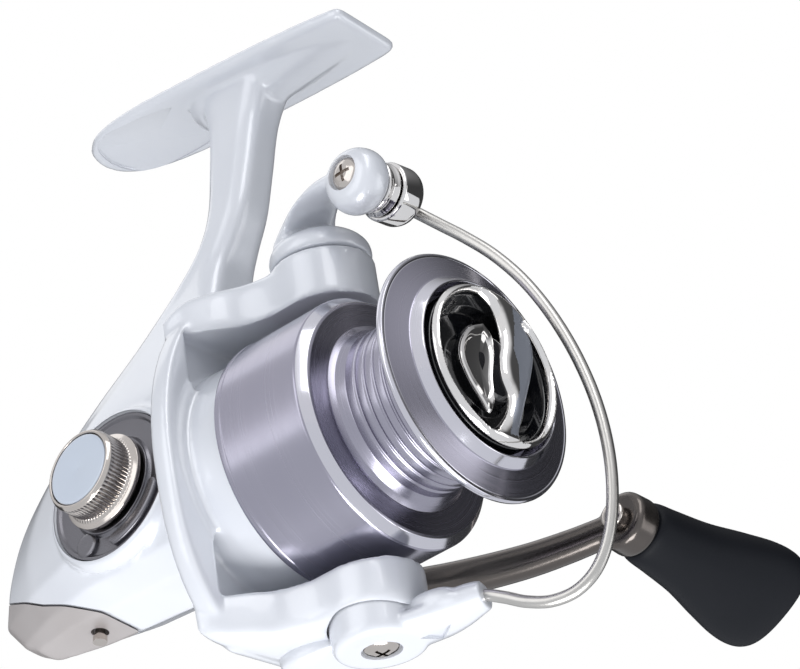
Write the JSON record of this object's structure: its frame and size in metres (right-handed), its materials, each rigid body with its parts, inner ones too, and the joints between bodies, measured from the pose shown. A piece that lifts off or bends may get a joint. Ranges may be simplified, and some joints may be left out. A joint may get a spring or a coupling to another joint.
{
  "type": "spinning reel",
  "caption": "Open-face spinning reel: pearl white body with T-shaped rod foot, rotor with bail and line roller, grey spool with front drag knob, and a crank handle.",
  "frame": {"origin": "middle of the foot's rod-side face", "axes": "+X forward along the main shaft towards the spool, +Y towards the handle, +Z from the body towards the rod; the foot's face leans 5.46 degrees from the main shaft, so its normal is not exactly +Z"},
  "size_m": [0.117, 0.1176, 0.1229],
  "materials": {
    "pearl_paint": "pearl white gloss paint",
    "champagne_paint": "satin champagne grey paint",
    "anodised_aluminium": "turned and anodised, titanium grey",
    "nickel_plate": "bright nickel plate",
    "steel": "satin stainless steel",
    "brass": "machined brass",
    "zinc_casting": "die-cast zinc alloy, machined",
    "gunmetal_paint": "dark gunmetal anodising",
    "black_plastic": "gloss black moulding",
    "soft_black": "matte soft-touch black",
    "felt": "pressed felt",
    "pale_disc": "pale blue-white inlay"
  },
  "bodies": {
    "body": {"body_housing": "pearl_paint", "side_cover": "pearl_paint", "tail_cap": "champagne_paint", "tail_screw": "nickel_plate", "cover_screw_1": "nickel_plate", "cover_screw_2": "nickel_plate", "cover_screw_3": "nickel_plate", "side_plate": "nickel_plate", "handle_collar": "nickel_plate", "drive_bearing_right": "steel", "drive_bearing_left": "steel", "pinion_bush": "brass", "pinion_bearing": "steel", "bearing_retainer": "steel", "one_way_clutch": "steel", "oscillation_post": "steel", "guide_rod": "steel"},
    "crank": {"drive_gear": "zinc_casting", "drive_shaft": "steel", "handle_shank": "gunmetal_paint", "handle_arm": "gunmetal_paint", "grip_spindle": "steel"},
    "handle_screw": {"handle_screw": "steel"},
    "cap": {"handle_cap": "nickel_plate", "cap_disc": "pale_disc"},
    "grip": {"grip": "soft_black"},
    "rotor": {"rotor": "pearl_paint", "rotor_nut": "steel", "rotor_arm_cover": "pearl_paint", "bail_spring": "steel", "pivot_bush": "brass", "upper_pivot_screw": "nickel_plate", "lower_pivot_screw": "nickel_plate", "pinion_gear": "brass"},
    "trip_lever": {"trip_lever": "steel"},
    "bail": {"bail_arm": "pearl_paint", "lower_bail_arm": "pearl_paint", "bail_wire": "steel", "bail_cone": "nickel_plate", "roller_screw": "nickel_plate", "roller_bearing": "steel"},
    "line_roller": {"line_roller": "nickel_plate"},
    "oscillation_gear": {"oscillation_gear": "brass"},
    "main_shaft": {"main_shaft": "steel", "slider_block": "zinc_casting", "spool_support": "brass", "click_pawl": "steel", "drag_disc_1": "steel", "drag_disc_2": "steel", "drag_plate": "steel"},
    "spool": {"spool": "anodised_aluminium", "click_ratchet": "black_plastic", "drag_felt_1": "felt", "drag_felt_2": "felt", "drag_clip": "steel"},
    "drag_knob": {"knob_shell": "nickel_plate", "knob_insert": "black_plastic", "drag_spring": "steel"},
    "drag_nut": {"drag_nut": "brass"},
    "anti_reverse_lever": {"anti_reverse_lever": "nickel_plate"}
  },
  "joints": [
    {"name": "crank_spin", "type": "hinge", "parent": "body", "child": "crank", "pos_m": [-0.0159, 0, -0.07754], "axis": [0, 1, 0], "continuous": true},
    {"name": "screw_travel", "type": "slide", "parent": "crank", "child": "handle_screw", "axis": [0, -1, 0], "range_m": [0, 0.0024]},
    {"name": "cap_turn", "type": "hinge", "parent": "handle_screw", "child": "cap", "pos_m": [-0.0159, -0.016, -0.07754], "axis": [0, -1, 0], "range_deg": [0, 1080]},
    {"name": "grip_spin", "type": "hinge", "parent": "crank", "child": "grip", "pos_m": [0.0358, 0.074, -0.07894], "axis": [0, 1, 0], "continuous": true},
    {"name": "rotor_spin", "type": "hinge", "parent": "body", "child": "rotor", "pos_m": [0.0125, 0, -0.08384], "axis": [1, 0, 0], "continuous": true},
    {"name": "trip_travel", "type": "slide", "parent": "rotor", "child": "trip_lever", "axis": [1, 0, 0], "range_m": [-0.0019, 0]},
    {"name": "bail_open", "type": "hinge", "parent": "rotor", "child": "bail", "pos_m": [0.0256, 0, -0.08384], "axis": [0, -0.1736, 0.9848], "range_deg": [-105, 0]},
    {"name": "roller_spin", "type": "hinge", "parent": "bail", "child": "line_roller", "pos_m": [0.0412, -0.00663, -0.04622], "axis": [0, 0.9848, 0.1736], "continuous": true},
    {"name": "oscillation_spin", "type": "hinge", "parent": "body", "child": "oscillation_gear", "pos_m": [-0.02775, -0.0065, -0.07864], "axis": [0, 1, 0], "continuous": true},
    {"name": "shaft_stroke", "type": "slide", "parent": "body", "child": "main_shaft", "axis": [1, 0, 0], "range_m": [-0.0065, 0.0025]},
    {"name": "spool_slip", "type": "hinge", "parent": "main_shaft", "child": "spool", "pos_m": [0.0425, 0, -0.08384], "axis": [1, 0, 0], "continuous": true},
    {"name": "drag_turn", "type": "hinge", "parent": "main_shaft", "child": "drag_knob", "pos_m": [0.0555, 0, -0.08384], "axis": [1, 0, 0], "range_deg": [-360, 360]},
    {"name": "nut_travel", "type": "slide", "parent": "drag_knob", "child": "drag_nut", "axis": [1, 0, 0], "range_m": [-0.00071, 0.00071]},
    {"name": "reverse_select", "type": "hinge", "parent": "body", "child": "anti_reverse_lever", "pos_m": [-0.004, 0, -0.09064], "axis": [1, 0, 0], "range_deg": [0, 30]}
  ],
  "couplings": [
    {"joint": "screw_travel", "follows": "cap_turn", "m_per_rad": 0.00012731},
    {"joint": "rotor_spin", "follows": "crank_spin", "ratio": -5.2},
    {"joint": "trip_travel", "follows": "bail_open", "m_per_rad": 0.000982},
    {"joint": "oscillation_spin", "follows": "crank_spin", "ratio": -0.43333},
    {"joint": "nut_travel", "follows": "drag_turn", "m_per_rad": 0.0001114}
  ]
}
